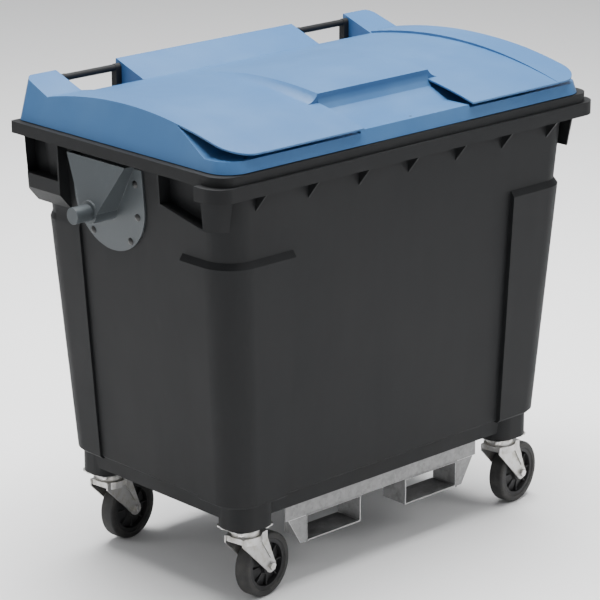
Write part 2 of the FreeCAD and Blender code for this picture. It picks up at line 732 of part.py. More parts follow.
def overhang():
    """Right-hand grip: the tongue and the edge strip carried forward over the shelf."""
    plan = outline(TONGUE_INNER_X, STRIP_OUTER_X, OVERHANG_Y, FAR, 0, [BITE, STRIP_CORNER, BITE, BITE])
    plan = Part.Face(plan).extrude(V(0, 0, 2 * FAR))
    y0 = OVERHANG_Y - BITE
    y1 = OVERHANG_ROOT_Y + OVERHANG_LAP
    step_x = TONGUE_OUTER_X
    slabs = [crowned_slab(y0, y1, TONGUE, TONGUE, LID_WALL, 0, step_x + BITE),
             crowned_slab(y0, y1, STRIP, TONGUE, LID_WALL, step_x, step_x + LID_WALL),
             crowned_slab(y0, y1, STRIP, STRIP, LID_WALL, step_x, FAR)]
    return [slab.common(plan) for slab in slabs]


def cove(half, width, z_top, z_foot, y):
    """Half section of the raised panel: flat top, then a hollow curve down to the crown."""
    rise = z_top - z_foot
    radius = (rise * rise + width * width) / (2 * rise)
    sweep = math.asin(width / radius)
    middle_x = half + width - radius * math.sin(sweep / 2)
    middle_z = z_foot + radius - radius * math.cos(sweep / 2)
    return V(half, y, z_top), V(middle_x, y, middle_z), V(half + width, y, z_foot)


def polyline(points):
    """Straight edges through a list of points."""
    return [Part.makeLine(start, end) for start, end in zip(points, points[1:])]


def panel_section(y, drop):
    """Section of the raised centre panel across the lid at y."""
    z_top = arc_z(y, *PANEL) - drop
    z_foot = arc_z(y, *TONGUE) - drop - PANEL_FOOT_SINK
    right = cove(PANEL_HALF - drop, PANEL_COVE, z_top, z_foot, y)
    left = [V(-p.x, p.y, p.z) for p in right]
    root = V(right[2].x, y, z_foot - PANEL_ROOT)
    under = polyline([right[2], root, V(-root.x, y, root.z), left[2]])
    top = [Part.makeLine(left[0], right[0]), Part.Arc(*right).toShape()]
    return Part.Wire(top + under + [Part.Arc(left[2], left[1], left[0]).toShape()])


def centre_panel(drop):
    """Raised centre panel, and the hollow slope that ends it at the front."""
    front = PANEL_FRONT_Y + drop
    wires = []
    for i in range(PANEL_STEPS):
        y = front + (PANEL_REAR_Y - front) * i / (PANEL_STEPS - 1)
        wires.append(panel_section(y, drop))
    body = Part.makeLoft(wires, True, False)
    z_top = arc_z(front, *PANEL) - drop
    z_foot = SHELF_Z + PANEL_FOOT_RISE - drop
    slope = [V(0, front - p.x, p.z) for p in cove(0, PANEL_FRONT_COVE, z_top, z_foot, 0)]
    foot = slope[2]
    back_y = front + PANEL_FRONT_COVE
    root_z = SHELF_Z - drop - BITE
    under = polyline([foot, V(0, foot.y, root_z), V(0, back_y, root_z), V(0, back_y, z_top - PANEL_ROOT),
                      V(0, front, z_top - BITE / 10), slope[0]])
    half = PANEL_HALF - drop
    return [body, swept_x([Part.Arc(*slope).toShape()] + under, -half, half)]


def notch(margin, side_margin):
    """Right-hand gap in the ridge where the rear handle stands."""
    y = RIDGE_BASE_Y - margin
    base = arc_z(RIDGE_BASE_Y, *TONGUE) - margin
    rear_y = NOTCH_REAR_Y - margin
    low = LID_LOW_Z - LID_DEPTH_CUT
    high = RIM_TOP + FAR
    points = [(y, base), (rear_y, NOTCH_REAR_Z - margin), (rear_y, low), (FAR, low), (FAR, high), (y, high)]
    return prism_x(points, HANDLE_INNER_X - side_margin, HANDLE_OUTER_X + side_margin)


def lid():
    strips = []
    for x0, x1 in ((TONGUE_OUTER_X, FAR), (-FAR, -TONGUE_OUTER_X)):
        strip = crowned_slab(OVERHANG_ROOT_Y, RIDGE_BASE_Y + LID_WALL, STRIP, TONGUE, LID_WALL / 2, x0, x1)
        strips.append(strip.common(lid_envelope(0)))
    grips = overhang()
    grips += [mirror_x(item) for item in grips]
    outer = union([lid_block(0)] + strips + grips + centre_panel(0))
    inner = union([lid_block(LID_WALL)] + centre_panel(LID_WALL))
    lugs = notch(LID_WALL, LUG_THICKNESS)
    inner = inner.cut(Part.makeCompound([lugs, mirror_x(lugs)]))
    gap = notch(0, 0)
    shell = outer.cut(inner).cut(Part.makeCompound([gap, mirror_x(gap)]))
    reach = LUG_THICKNESS + BITE
    bore = cylinder(PIN_R + RUNNING_GAP, V(HANDLE_INNER_X - reach, HINGE_Y, HINGE_Z),
                    V(HANDLE_OUTER_X + reach, HINGE_Y, HINGE_Z))
    cuts = [bore, mirror_x(bore)]
    for x, y, shelf in buffer_places():
        cuts.append(cylinder(BUFFER_STEM_R, V(x, y, LID_LOW_Z), V(x, y, shelf + BITE)))
    return shell.cut(Part.makeCompound(cuts))


def buffer_places():
    """Centres of the buffers, each with the height of the shelf above it."""
    y = -BUFFER_Y
    return [(-BUFFER_X, y, GRIP_SHELF_Z), (0.0, y, SHELF_Z), (BUFFER_X, y, GRIP_SHELF_Z)]


def lid_buffers():
    """Rubber studs under the front shelf that the closed lid rests on."""
    studs = []
    for x, y, shelf in buffer_places():
        pad = cylinder(BUFFER_R, V(x, y, RIM_TOP), V(x, y, shelf - LID_WALL))
        stem = cylinder(BUFFER_STEM_R, V(x, y, RIM_TOP), V(x, y, shelf))
        studs.append(union([pad, stem]))
    return studs


# ---------------------------------------------------------------- rear handles and hinge

def handle_x():
    """Outer faces of the right-hand handle's two posts."""
    return HANDLE_INNER_X + LUG_GAP, HANDLE_OUTER_X - LUG_GAP


def rear_handle():
    """Right-hand handle: two posts on a foot, joined by the grip bar on the hinge axis."""
    x0, x1 = handle_x()
    half = POST_DEPTH / 2
    foot_y = HINGE_Y - HANDLE_FOOT_DEPTH / 2
    parts = [box(x0, x1, foot_y, foot_y + HANDLE_FOOT_DEPTH, RIM_TOP, RIM_TOP + HANDLE_FOOT),
             cylinder(HANDLE_R, V(x0 + BITE, HINGE_Y, HINGE_Z), V(x1 - BITE, HINGE_Y, HINGE_Z))]
    cuts = []
    for x in (x0, x1 - HANDLE_POST):
        start = V(x, HINGE_Y, HINGE_Z)
        end = V(x + HANDLE_POST, HINGE_Y, HINGE_Z)
        parts += [box(x, end.x, HINGE_Y - half, HINGE_Y + half, RIM_TOP, HINGE_Z), cylinder(half, start, end)]
        cuts.append(cylinder(PIN_R, start, end))
    return union(parts).cut(Part.makeCompound(cuts + handle_screw_shanks(BITE)))


def handle_screw_shanks(extra):
    """Shanks of the right-hand handle's two foot screws, lengthened upwards by extra."""
    x0, x1 = handle_x()
    inset = HANDLE_POST + HANDLE_SCREW_INSET
    low = RIM_TOP - WALL - HANDLE_SCREW_TAIL
    high = RIM_TOP + HANDLE_FOOT + extra
    return [cylinder(HANDLE_SCREW_R, V(x, HINGE_Y, low), V(x, HINGE_Y, high)) for x in (x0 + inset, x1 - inset)]


def handle_screws():
    screws = []
    for shank in handle_screw_shanks(0):
        x = shank.BoundBox.Center.x
        low = V(x, HINGE_Y, RIM_TOP + HANDLE_FOOT)
        high = low.add(V(0, 0, HANDLE_SCREW_R))
        screw = union([shank, hexagon(HANDLE_SCREW_R * BOLT_HEAD_RATIO, low, high)])
        screws += [screw, mirror_x(screw)]
    return screws


def handle_screw_holes():
    shanks = handle_screw_shanks(0)
    return shanks + [mirror_x(shank) for shank in shanks]


def hinge_pins():
    """Four pins: each is pressed into a post, and the lid's lug turns on it."""
    x0, x1 = handle_x()
    pins = []
    for post_end, way in ((x0, -1), (x1, 1)):
        inner = V(post_end - way * HANDLE_POST, HINGE_Y, HINGE_Z)
        neck = V(post_end + way * (LUG_GAP * 1.5 + LUG_THICKNESS), HINGE_Y, HINGE_Z)
        tip = V(neck.x + way * PIN_HEAD, HINGE_Y, HINGE_Z)
        pin = union([cylinder(PIN_R, inner, tip), cylinder(PIN_HEAD_R, neck, tip)])
        pins += [pin, mirror_x(pin)]
    return pins


# ---------------------------------------------------------------- drain

def drain_disc(radius, low_z, high_z):
    return cylinder(radius, V(DRAIN_X, DRAIN_Y, low_z), V(DRAIN_X, DRAIN_Y, high_z))


def drain_plug():
    """Plug with a flange under the floor and a flat turning grip."""
    flange_top = FLOOR_Z - DRAIN_SEAL
    flange_low = flange_top - DRAIN_FLANGE
    half = DRAIN_GRIP / 2
    grip = box(DRAIN_X - DRAIN_R, DRAIN_X + DRAIN_R, DRAIN_Y - half, DRAIN_Y + half,
               flange_low - DRAIN_GRIP_DEPTH, flange_low + BITE)
    return union([drain_disc(DRAIN_FLANGE_R, flange_low, flange_top),
                  drain_disc(DRAIN_R, flange_low, FLOOR_Z + FLOOR_THICKNESS), grip])


def drain_seal():
    low = FLOOR_Z - DRAIN_SEAL
    return drain_disc(DRAIN_SEAL_R, low, FLOOR_Z).cut(drain_disc(DRAIN_R, low, FLOOR_Z))


# ---------------------------------------------------------------- castors

AXLE_Z = WHEEL_R
PLATE_LOW = MOUNT_Z - PLATE_T
BALL_Z = PLATE_LOW - BALL_R - BALL_GAP
FORK_TOP = FORK_CROWN_Z + FORK_SHEET


def upright(radius, low_z, high_z):
    """Round bar on the swivel axis."""
    return cylinder(radius, V(0, 0, low_z), V(0, 0, high_z))


def plate_holes():
    return [(sx * PLATE_HOLE_X / 2, sy * PLATE_HOLE_Y / 2) for sx in (-1, 1) for sy in (-1, 1)]


def castor_plate():
    """Mounting plate with its upper bearing cup, about the swivel axis."""
    plan = (PLATE_X / 2, PLATE_Y / 2, PLATE_CORNER)
    plate = frustum(plan + (PLATE_LOW,), plan + (MOUNT_Z,))
    cup = upright(RACE_R, PLATE_LOW - RACE_DEPTH, PLATE_LOW + BITE)
    cup = cup.cut(upright(RACE_R - RACE_WALL, PLATE_LOW - RACE_DEPTH, PLATE_LOW))
    cuts = [upright(KINGPIN_R, PLATE_LOW, MOUNT_Z)]
    for x, y in plate_holes():
        hole = upright(PLATE_HOLE_R, PLATE_LOW, MOUNT_Z)
        hole.translate(V(x, y, 0))
        cuts.append(hole)
    return union([plate, cup]).cut(Part.makeCompound(cuts))


def castor_balls():
    balls = []
    for i in range(BALL_COUNT):
        angle = 2 * math.pi * i / BALL_COUNT
        place = V(BALL_CIRCLE_R * math.cos(angle), BALL_CIRCLE_R * math.sin(angle), BALL_Z)
        balls.append(Part.makeSphere(BALL_R, place))
    return balls


def fork_side():
    """Leg of the fork on its +Y side: a tapering blade, a round end and a stiffening rib."""
    y0 = FORK_GAP / 2
    y1 = y0 + FORK_SHEET
    blade = prism_y(leg_points(), y0, y1)
    end = cylinder(FORK_LEG_R, V(CASTOR_TRAIL, y0, AXLE_Z), V(CASTOR_TRAIL, y1, AXLE_Z))
    half = FORK_RIB / 2
    low = AXLE_Z + FORK_LEG_R + half
    high = FORK_TOP - FORK_RIB
    rib = prism_y([(CASTOR_TRAIL - half, low), (CASTOR_TRAIL + half, low),
                   (FORK_RIB_X + half, high), (FORK_RIB_X - half, high)], y1, y1 + FORK_RIB_RISE)
    return [blade, end, rib]


def castor_fork():
    """Pressed fork: crown with a lower bearing seat, and two legs to the axle."""
    half = FORK_GAP / 2
    outside = half + FORK_SHEET
    skirt_low = FORK_CROWN_Z - FORK_SKIRT
    seat = upright(RACE_R - FORK_SHEET, FORK_CROWN_Z, BALL_Z - BALL_R)
    crown_disc = upright(FORK_CROWN_R, skirt_low, FORK_TOP)
    crown_disc = crown_disc.cut(box(-FAR, FAR, -half, half, 0, FORK_CROWN_Z))
    bridge = prism_y([(-RACE_R, skirt_low + FORK_SHEET), (-RACE_R, FORK_TOP), (FORK_BROW_X, FORK_TOP),
                      (FORK_BROW_X, FORK_CROWN_Z), (FORK_SHEET - RACE_R, FORK_CROWN_Z)], -outside, outside)
    side = fork_side()
    body = union([seat, crown_disc, bridge] + side + [mirror_y(piece) for piece in side])
    cuts = [upright(KINGPIN_R + RUNNING_GAP, skirt_low, MOUNT_Z),
            cylinder(AXLE_R, V(CASTOR_TRAIL, -FAR, AXLE_Z), V(CASTOR_TRAIL, FAR, AXLE_Z))]
    return body.cut(Part.makeCompound(cuts))


def leg_points():
    """Outline of a fork leg: wide at the crown, tapering to the axle."""
    slope = math.radians(FORK_LEG_SLOPE)
    near = (CASTOR_TRAIL - FORK_LEG_R * math.cos(slope), AXLE_Z - FORK_LEG_R * math.sin(slope))
    far = (CASTOR_TRAIL + FORK_LEG_R, AXLE_Z)
    return [near, far, (FORK_BROW_X, FORK_CROWN_Z - FORK_SKIRT), (FORK_BROW_X, FORK_TOP),
            (-FORK_CROWN_R, FORK_TOP), (-FORK_CROWN_R, FORK_CROWN_Z - FORK_SKIRT)]


def castor_axle():
    """Axle bolt: hexagon head, shank through fork and wheel, and a threaded end."""
    half = FORK_GAP / 2 + FORK_SHEET
    start = V(CASTOR_TRAIL, -half, AXLE_Z)
    end = V(CASTOR_TRAIL, half + AXLE_TAIL, AXLE_Z)
    head = hexagon(AXLE_HEAD_R, V(CASTOR_TRAIL, -half - AXLE_HEAD, AXLE_Z), start)
    return union([cylinder(AXLE_R, start, end), head])


def castor_nut():
    half = FORK_GAP / 2 + FORK_SHEET
    start = V(CASTOR_TRAIL, half, AXLE_Z)
    end = V(CASTOR_TRAIL, half + AXLE_NUT, AXLE_Z)
    return hexagon(AXLE_HEAD_R, start, end).cut(cylinder(AXLE_R, start, end))


def castor_kingpin():
    """Swivel bolt: head under the crown, shank up through the races into the plate."""
    top = FORK_CROWN_Z - BALL_GAP
    low = top - KINGPIN_HEAD
    return union([hexagon(KINGPIN_HEAD_R, V(0, 0, low), V(0, 0, top)), upright(KINGPIN_R, low, MOUNT_Z)])


def turned(edges):
    """Solid of revolution about the axle, from edges drawn as (y, height above the axle)."""
    profile = Part.Wire(edges)
    profile.translate(V(CASTOR_TRAIL, 0, AXLE_Z))
    return Part.Face(profile).revolve(V(CASTOR_TRAIL, 0, AXLE_Z), V(0, 1, 0), 360)


def castor_core():
    """Wheel centre: rim, web and hub, with the axle bore."""
    half = CORE_WIDTH / 2
    hub = HUB_WIDTH / 2
    web = CORE_WEB / 2
    bore = AXLE_R + RUNNING_GAP
    right = [(hub, bore), (hub, HUB_R), (hub - HUB_FLARE, HUB_R + BITE), (web, CORE_R - CORE_RIM - BITE),
             (half, CORE_R - CORE_RIM), (half, CORE_R)]
    left = [(-y, r) for y, r in reversed(right)]
    points = [V(0, y, r) for y, r in right + left]
    return turned(polyline(points + points[:1]))


def castor_tyre():
    """Solid rubber tyre with rounded shoulders, on the rim of the core."""
    half = WHEEL_WIDTH / 2
    flat = half - TYRE_SHOULDER
    side_r = WHEEL_R - TYRE_SHOULDER
    bulge = TYRE_SHOULDER * math.sqrt(0.5)
    foot = polyline([V(0, -half, side_r), V(0, -half, CORE_R + TYRE_BEAD), V(0, -CORE_WIDTH / 2, CORE_R),
                     V(0, CORE_WIDTH / 2, CORE_R), V(0, half, CORE_R + TYRE_BEAD), V(0, half, side_r)])
    right = Part.Arc(V(0, half, side_r), V(0, flat + bulge, side_r + bulge), V(0, flat, WHEEL_R)).toShape()
    tread = Part.makeLine(V(0, flat, WHEEL_R), V(0, -flat, WHEEL_R))
    left = Part.Arc(V(0, -flat, WHEEL_R), V(0, -flat - bulge, side_r + bulge), V(0, -half, side_r)).toShape()
    return turned(foot + [right, tread, left])


def castor_places():
    return [("fl", -CASTOR_X, -CASTOR_Y), ("fr", CASTOR_X, -CASTOR_Y),
            ("rl", -CASTOR_X, CASTOR_Y), ("rr", CASTOR_X, CASTOR_Y)]


def placed(shape, x, y, turn):
    moved = shape.copy()
    moved.rotate(V(0, 0, 0), V(0, 0, 1), turn)
    moved.translate(V(x, y, 0))
    return moved


def castor_bolt_places():
    return [(x + hx, y + hy) for _, x, y in castor_places() for hx, hy in plate_holes()]


def insert_holes():
    holes = []
    for x, y in castor_bolt_places():
        holes.append(cylinder(INSERT_R, V(x, y, MOUNT_Z), V(x, y, MOUNT_Z + INSERT_DEPTH)))
    return holes


def castor_inserts():
    """Threaded sleeves moulded into the floor pads."""
    sleeves = []
    for x, y in castor_bolt_places():
        low = V(x, y, MOUNT_Z)
        sleeve = cylinder(INSERT_R, low, V(x, y, MOUNT_Z + INSERT_DEPTH))
        sleeves.append(sleeve.cut(cylinder(CASTOR_BOLT_R, low, V(x, y, MOUNT_Z + INSERT_DEPTH - INSERT_BASE))))
    return sleeves


def castor_bolts():
    """Bolts through the castor plates into the inserts, heads below."""
    bolts = []
    head = CASTOR_BOLT_R * BOLT_HEAD_HEIGHT
    for x, y in castor_bolt_places():
        low = V(x, y, PLATE_LOW)
        shank = cylinder(CASTOR_BOLT_R, low, V(x, y, MOUNT_Z + INSERT_DEPTH - INSERT_BASE))
        cap = hexagon(CASTOR_BOLT_R * BOLT_HEAD_RATIO, V(x, y, PLATE_LOW - head), low)
        bolts.append(union([shank, cap]))
    return bolts


# ---------------------------------------------------------------- fork pockets

def fork_frame():
    """Front angle plate: its upright carries the pockets, its flange bolts up to the floor."""
    upstand = box(-FRAME_HALF_X, FRAME_HALF_X, -FRAME_Y, FRAME_SHEET - FRAME_Y, FRAME_LOW_Z, FLOOR_Z)
    flange = box(-FRAME_HALF_X, FRAME_HALF_X, -FRAME_Y, FRAME_FLANGE - FRAME_Y, FLOOR_Z - FRAME_SHEET, FLOOR_Z)
    return union([upstand, flange]).cut(Part.makeCompound(frame_bolt_shanks(FLOOR_Z - FRAME_SHEET, FLOOR_Z)))


def pocket():
    """Right-hand front fork pocket: a short rectangular sleeve with a tab up behind the angle plate."""
    x0 = POCKET_CENTRE_X - POCKET_WIDTH / 2
    x1 = POCKET_CENTRE_X + POCKET_WIDTH / 2
    y0 = FRAME_SHEET - FRAME_Y
    z1 = POCKET_LOW_Z + POCKET_HEIGHT
    sheet = POCKET_SHEET
    sleeve = box(x0, x1, -FRAME_Y, y0 + POCKET_DEPTH, POCKET_LOW_Z, z1)
    hollow = box(x0 + sheet, x1 - sheet, -FAR, FAR, POCKET_LOW_Z + sheet, z1 - sheet)
    tab = box(x0, x1, y0, y0 + sheet, z1 - BITE, z1 + POCKET_TAB)
    return union([sleeve.cut(hollow), tab])


def pocket_gusset():
    """Sloping plate at the outer side of a pocket, welded to the angle plate."""
    x = POCKET_CENTRE_X + POCKET_WIDTH / 2
    corners = [(x, POCKET_LOW_Z), (x + GUSSET_LOW, POCKET_LOW_Z), (x + GUSSET_TOP, FRAME_LOW_Z),
               (x, FRAME_LOW_Z)]
    return prism_y(corners, -FRAME_Y, GUSSET_SHEET - FRAME_Y)


def frame_bolt_shanks(low_z, high_z):
    """Round bars on the axes of the front angle plate's bolts."""
    y = FRAME_BOLT_IN - FRAME_Y
    return [cylinder(FRAME_BOLT_R, V(x, y, low_z), V(x, y, high_z)) for x in FRAME_BOLT_X]


def frame_bolts():
    """Bolts up through both angle plates and the floor, heads below."""
    bolts = []
    low_z = FLOOR_Z - FRAME_SHEET
    for shank in frame_bolt_shanks(low_z, FLOOR_Z + FLOOR_THICKNESS + FRAME_BOLT_TAIL):
        low = V(shank.BoundBox.Center.x, shank.BoundBox.Center.y, low_z)
        head = hexagon(FRAME_BOLT_R * BOLT_HEAD_RATIO, low.sub(V(0, 0, FRAME_BOLT_R * BOLT_HEAD_HEIGHT)), low)
        bolt = union([shank, head])
        bolts += [bolt, mirror_y(bolt)]
    return bolts


def frame_bolt_holes():
    holes = frame_bolt_shanks(FLOOR_Z, FLOOR_Z + FLOOR_THICKNESS + FRAME_BOLT_TAIL)
    return holes + [mirror_y(hole) for hole in holes]


# ---------------------------------------------------------------- assembly

os.makedirs("parts", exist_ok=True)

save("tub", tub())
save("lid", lid())
save("lid_buffers", lid_buffers())
save("rear_handle_right", rear_handle())
save("rear_handle_left", mirror_x(rear_handle()))
save("rear_handle_screws", handle_screws())
save("hinge_pins", hinge_pins())
save("trunnion_bracket_right", bracket())
save("trunnion_bracket_left", mirror_x(bracket()))
save("trunnion_pin_right", trunnion_pin())
save("trunnion_pin_left", mirror_x(trunnion_pin()))
SCREWS = bracket_screws()
save("trunnion_screws", SCREWS + [mirror_x(item) for item in SCREWS])
save("drain_plug", drain_plug())
save("drain_plug_seal", drain_seal())
save("fork_frame_front", fork_frame())
save("fork_frame_rear", mirror_y(fork_frame()))
save("fork_pocket_front_right", pocket())
save("fork_pocket_front_left", mirror_x(pocket()))
save("fork_pocket_rear_right", mirror_y(pocket()))
save("fork_pocket_rear_left", mirror_y(mirror_x(pocket())))
GUSSETS = [pocket_gusset(), mirror_x(pocket_gusset())]
save("fork_pocket_gussets", GUSSETS + [mirror_y(item) for item in GUSSETS])
save("fork_frame_bolts", frame_bolts())
save("castor_bolts", castor_bolts())
save("castor_inserts", castor_inserts())

for corner, at_x, at_y in castor_places():
    prefix = "castor_" + corner + "_"
    save(prefix + "plate", placed(castor_plate(), at_x, at_y, 0))
    save(prefix + "balls", [placed(ball, at_x, at_y, CASTOR_TURN) for ball in castor_balls()])
    save(prefix + "kingpin", placed(castor_kingpin(), at_x, at_y, 0))
    save(prefix + "fork", placed(castor_fork(), at_x, at_y, CASTOR_TURN))
    save(prefix + "axle", placed(castor_axle(), at_x, at_y, CASTOR_TURN))
    save(prefix + "nut", placed(castor_nut(), at_x, at_y, CASTOR_TURN))
    save(prefix + "core", placed(castor_core(), at_x, at_y, CASTOR_TURN))
    save(prefix + "tyre", placed(castor_tyre(), at_x, at_y, CASTOR_TURN))
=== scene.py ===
import json
import math
from random import Random

import bmesh
import bpy
from mathutils import Matrix, Vector


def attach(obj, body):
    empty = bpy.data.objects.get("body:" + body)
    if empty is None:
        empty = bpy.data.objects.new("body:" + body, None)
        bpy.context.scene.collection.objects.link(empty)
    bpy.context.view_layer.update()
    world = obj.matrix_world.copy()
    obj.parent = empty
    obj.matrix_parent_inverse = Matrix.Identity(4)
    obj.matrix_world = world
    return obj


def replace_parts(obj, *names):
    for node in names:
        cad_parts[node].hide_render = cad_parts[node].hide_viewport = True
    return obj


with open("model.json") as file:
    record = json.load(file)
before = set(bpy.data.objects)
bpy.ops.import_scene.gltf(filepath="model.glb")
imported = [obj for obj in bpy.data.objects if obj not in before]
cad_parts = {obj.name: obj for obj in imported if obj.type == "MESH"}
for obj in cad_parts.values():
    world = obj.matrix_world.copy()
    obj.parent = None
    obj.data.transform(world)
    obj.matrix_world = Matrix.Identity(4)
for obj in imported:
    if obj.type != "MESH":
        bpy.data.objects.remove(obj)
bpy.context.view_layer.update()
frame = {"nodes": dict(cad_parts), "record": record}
NODES = frame["nodes"]


# ---------------------------------------------------------------- shader expressions

class Field:
    """A shader socket that takes part in Python arithmetic."""

    def __init__(self, graph, socket):
        self.graph = graph
        self.socket = socket

    def __add__(self, other):
        return self.graph.math("ADD", self, other)

    def __radd__(self, other):
        return self.graph.math("ADD", other, self)

    def __sub__(self, other):
        return self.graph.math("SUBTRACT", self, other)

    def __rsub__(self, other):
        return self.graph.math("SUBTRACT", other, self)

    def __mul__(self, other):
        return self.graph.math("MULTIPLY", self, other)

    def __rmul__(self, other):
        return self.graph.math("MULTIPLY", other, self)


class Graph:
    """A material whose nodes all come from one method."""

    def __init__(self, name):
        self.material = bpy.data.materials.new(name)
        self.material.use_nodes = True
        self.tree = self.material.node_tree
        self.shader = self.tree.nodes["Principled BSDF"]
        self.place = self.add("ShaderNodeTexCoord", output="Object")

    def add(self, kind, settings=None, inputs=None, output=0):
        node = self.tree.nodes.new(kind)
        for name, value in (settings or {}).items():
            setattr(node, name, value)
        for name, value in (inputs or {}).items():
            self.feed(node.inputs[name], value)
        return Field(self, node.outputs[output])

    def feed(self, socket, value):
        if isinstance(value, Field):
            self.tree.links.new(value.socket, socket)
        else:
            socket.default_value = value

    def math(self, operation, *values):
        return self.add("ShaderNodeMath", {"operation": operation}, dict(enumerate(values)))

    def noise(self, scale, detail=3.0, rough=0.55, where=None):
        inputs = {"Vector": where or self.place, "Scale": scale, "Detail": detail, "Roughness": rough}
        return self.add("ShaderNodeTexNoise", None, inputs)

    def cells(self, scale, output="Distance"):
        return self.add("ShaderNodeTexVoronoi", None, {"Vector": self.place, "Scale": scale}, output)

    def stretched(self, scale):
        return self.add("ShaderNodeMapping", None, {"Vector": self.place, "Scale": scale})

    def ramp(self, value, low, high, start=0.0, end=1.0):
        """Value from start at low to end at high, held beyond them and eased between."""
        names = {"Value": value, "From Min": low, "From Max": high, "To Min": start, "To Max": end}
        return self.add("ShaderNodeMapRange", {"interpolation_type": "SMOOTHSTEP"}, names)

    def mix(self, factor, first, second):
        inputs = {0: factor, 6: first, 7: second}
        return self.add("ShaderNodeMix", {"data_type": "RGBA"}, inputs, 2)

    def axis(self, letter):
        return self.add("ShaderNodeSeparateXYZ", None, {0: self.place}, letter)

    def bump(self, height, distance, strength=1.0, below=None):
        inputs = {"Height": height, "Distance": distance, "Strength": strength}
        if below is not None:
            inputs["Normal"] = below
        return self.add("ShaderNodeBump", None, inputs)

    def finish(self, **inputs):
        """Feeds the shader's sockets, written with underscores for spaces, and returns the material."""
        for name, value in inputs.items():
            self.feed(self.shader.inputs[name.replace("_", " ")], value)
        return self.material


def grey(value, warm=1.0):
    return (value * warm, value, value / warm, 1.0)


# ---------------------------------------------------------------- materials

def moulded(name, base, worn_and_highlight, rough, grain, edge_highlight=0.0):
    """Moulded polyethylene: fine grain, faint flow streaks, handling scuffs and settled dust, and for the
    bevel copies a painted edge highlight that lightens it all towards the worn colour.
    """
    g = Graph(name)
    height = g.axis("Z")
    streak = g.noise(3.0, 4.0, 0.6, g.stretched((9.0, 9.0, 0.9)))
    scuff = g.ramp(g.noise(46.0, 5.0, 0.72, g.stretched((1.0, 1.0, 0.22))), 0.60, 0.76)
    patch = g.ramp(g.noise(4.5, 3.0), 0.35, 0.75)
    dust = g.ramp(height, 0.42, 0.19) * g.ramp(g.noise(14.0, 5.0, 0.7), 0.35, 0.8)
    # A nonzero edge value mixes the whole colour towards the lighter worn colour: a painted edge highlight,
    # not wear.
    shade = g.mix(patch * 0.6 + edge_highlight, base, worn_and_highlight)
    shade = g.mix(scuff * patch * 0.30, shade, worn_and_highlight)
    shade = g.mix(streak * 0.22, shade, tuple(c * 0.78 for c in base[:3]) + (1.0,))
    shade = g.mix(dust * 0.10, shade, (0.10, 0.092, 0.082, 1.0))
    fine = g.noise(1500.0, 2.0, 0.6)
    pebble = g.cells(620.0)
    wave = g.noise(7.0, 2.0, 0.45)
    relief = g.bump(wave, 0.0022, 1.0)
    relief = g.bump(pebble * 0.6 + fine * 0.4, grain, 1.0, relief)
    roughness = rough + patch * 0.07 + streak * 0.05 + dust * 0.15 - scuff * 0.06 - edge_highlight * 0.1
    return g.finish(Base_Color=shade, Roughness=roughness, Normal=relief, Specular_IOR_Level=0.26)


def rubber(name, base, dusty):
    """Rubber: faint mottling, fine grit in the surface and a dusty tread."""
    g = Graph(name)
    grit = g.noise(900.0, 3.0, 0.7)
    mottle = g.ramp(g.noise(38.0, 4.0, 0.65), 0.35, 0.8)
    floor_dust = g.ramp(g.axis("Z"), 0.16, 0.0)
    shade = g.mix(mottle * 0.35 + floor_dust * mottle * 0.25, base, dusty)
    relief = g.bump(grit, 0.00025, 1.0)
    return g.finish(Base_Color=shade, Roughness=0.62 + mottle * 0.18, Normal=relief,
                    Specular_IOR_Level=0.35)


def galvanised(name, low, high, rough):
    """Hot-dip galvanised sheet: spangle, drips and a dull bloom."""
    g = Graph(name)
    spangle = g.cells(120.0, "Color")
    facet = g.add("ShaderNodeSeparateColor", None, {0: spangle}, 0)
    bloom = g.ramp(g.noise(26.0, 5.0, 0.65), 0.35, 0.75)
    drip = g.noise(30.0, 4.0, 0.6, g.stretched((4.0, 4.0, 0.5)))
    shade = g.mix(facet * 0.55 + bloom * 0.3, low, high)
    shade = g.mix(bloom * drip * 0.55, shade, (0.34, 0.34, 0.34, 1.0))
    relief = g.bump(facet * 0.35 + g.noise(420.0, 3.0) * 0.4 + drip * 0.4, 0.0004, 1.0)
    roughness = rough + facet * 0.14 + bloom * 0.16
    return g.finish(Base_Color=shade, Metallic=0.82 - bloom * 0.35, Roughness=roughness, Normal=relief)


def plated(name, base, tarnish, rough, brush):
    """Bright zinc plate: drawn lines, and a yellowed, duller bloom in patches."""
    g = Graph(name)
    lines = g.noise(60.0, 4.0, 0.7, g.stretched(brush))
    bloom = g.ramp(g.noise(60.0, 5.0, 0.7), 0.42, 0.72)
    shade = g.mix(bloom * 0.7, base, tarnish)
    shade = g.mix(lines * 0.2, shade, tuple(c * 0.6 for c in base[:3]) + (1.0,))
    relief = g.bump(lines * 0.5 + g.noise(700.0, 2.0) * 0.3, 0.0002, 1.0)
    roughness = rough + bloom * 0.22 + lines * 0.08
    return g.finish(Base_Color=shade, Metallic=0.95 - bloom * 0.2, Roughness=roughness, Normal=relief)


def coated(name, base, worn_and_highlight, rough, peel):
    """Powder-coated steel: orange-peel skin and rubbed patches."""
    g = Graph(name)
    skin = g.noise(330.0, 2.0, 0.5)
    rub = g.ramp(g.noise(30.0, 5.0, 0.7), 0.50, 0.78)
    shade = g.mix(rub * 0.55, base, worn_and_highlight)
    relief = g.bump(skin, peel, 1.0)
    return g.finish(Base_Color=shade, Metallic=0.25, Roughness=rough + rub * 0.16, Normal=relief,
                    Specular_IOR_Level=0.5)


